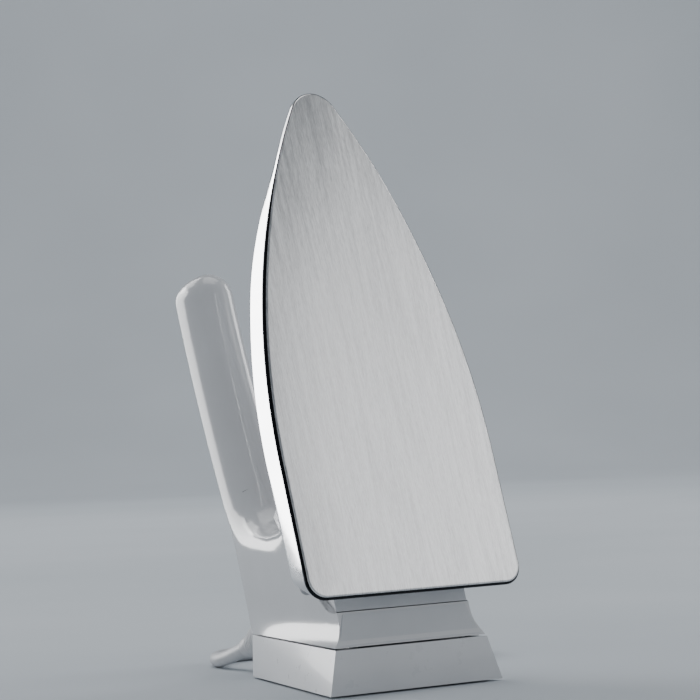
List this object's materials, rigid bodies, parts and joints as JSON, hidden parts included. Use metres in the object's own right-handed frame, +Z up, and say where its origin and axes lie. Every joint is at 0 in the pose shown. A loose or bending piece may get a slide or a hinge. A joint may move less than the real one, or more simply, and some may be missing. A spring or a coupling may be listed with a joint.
{
  "type": "clothes iron",
  "caption": "Dry clothes iron standing on its heel: pointed brushed sole, open-ended grip, temperature dial and ribbed cord relief.",
  "frame": {"origin": "centre of the heel's rest pad, on the table", "axes": "+Z up, +X across the iron, +Y from the sole towards the grip"},
  "size_m": [0.18, 0.2092, 0.261],
  "materials": {
    "sole_face": "brushed along its length",
    "soleplate": "polished wall",
    "heating_element": "dark oxidised tube",
    "element_terminals": "glazed ceramic",
    "earth_tab": "plain",
    "heat_shield": "plain sheet",
    "shield_screws": "zinc plated",
    "insulating_skirt": "fine grain",
    "body_cover": "gloss",
    "handle_shell": "gloss",
    "back_cover": "satin gloss",
    "neck_panel": "satin gloss",
    "heel_base": "satin gloss",
    "heel_pad": "matte",
    "base_screws": "zinc plated",
    "dial_bezel": "satin",
    "temperature_dial": "satin, fluted",
    "thermostat_spindle": "turned",
    "thermostat_frame": "pressed sheet",
    "thermostat_stack": "steatite ceramic",
    "bimetal_strip": "rolled strip",
    "contact_leaves": "spring strip",
    "thermal_fuse": "sleeved",
    "pilot_lens": "translucent",
    "pilot_lamp": "clear bulb",
    "terminal_block": "ceramic",
    "terminal_screws": "plain",
    "inner_leads": "glass-fibre sleeve",
    "inner_cord": "sheath",
    "cord_clamp": "moulded",
    "clamp_screws": "zinc plated",
    "strain_relief": "ribbed",
    "mains_cord": "smooth sheath",
    "cord_coil": "smooth sheath",
    "cord_tail": "smooth sheath",
    "plug_body": "moulded",
    "plug_pins": "nickel plated"
  },
  "bodies": {
    "iron": {"sole_face": "sole_face", "soleplate": "soleplate", "heating_element": "heating_element", "element_terminals": "element_terminals", "earth_tab": "earth_tab", "heat_shield": "heat_shield", "shield_screws": "shield_screws", "insulating_skirt": "insulating_skirt", "body_cover": "body_cover", "handle_shell": "handle_shell", "back_cover": "back_cover", "neck_panel": "neck_panel", "heel_base": "heel_base", "heel_pad": "heel_pad", "base_screws": "base_screws", "dial_bezel": "dial_bezel", "thermostat_frame": "thermostat_frame", "thermostat_stack": "thermostat_stack", "bimetal_strip": "bimetal_strip", "contact_leaves": "contact_leaves", "thermal_fuse": "thermal_fuse", "pilot_lens": "pilot_lens", "pilot_lamp": "pilot_lamp", "terminal_block": "terminal_block", "terminal_screws": "terminal_screws", "inner_leads": "inner_leads", "inner_cord": "inner_cord", "cord_clamp": "cord_clamp", "clamp_screws": "clamp_screws", "strain_relief": "strain_relief", "mains_cord": "mains_cord", "cord_coil": "cord_coil", "cord_tail": "cord_tail", "plug_body": "plug_body", "plug_pins": "plug_pins"},
    "dial": {"temperature_dial": "temperature_dial", "thermostat_spindle": "thermostat_spindle"}
  },
  "joints": [
    {"name": "dial_turn", "type": "hinge", "parent": "iron", "child": "dial", "pos_m": [0, 0.01996, 0.12738], "axis": [0, 0.9548, -0.2974], "range_deg": [-270, 0]}
  ]
}
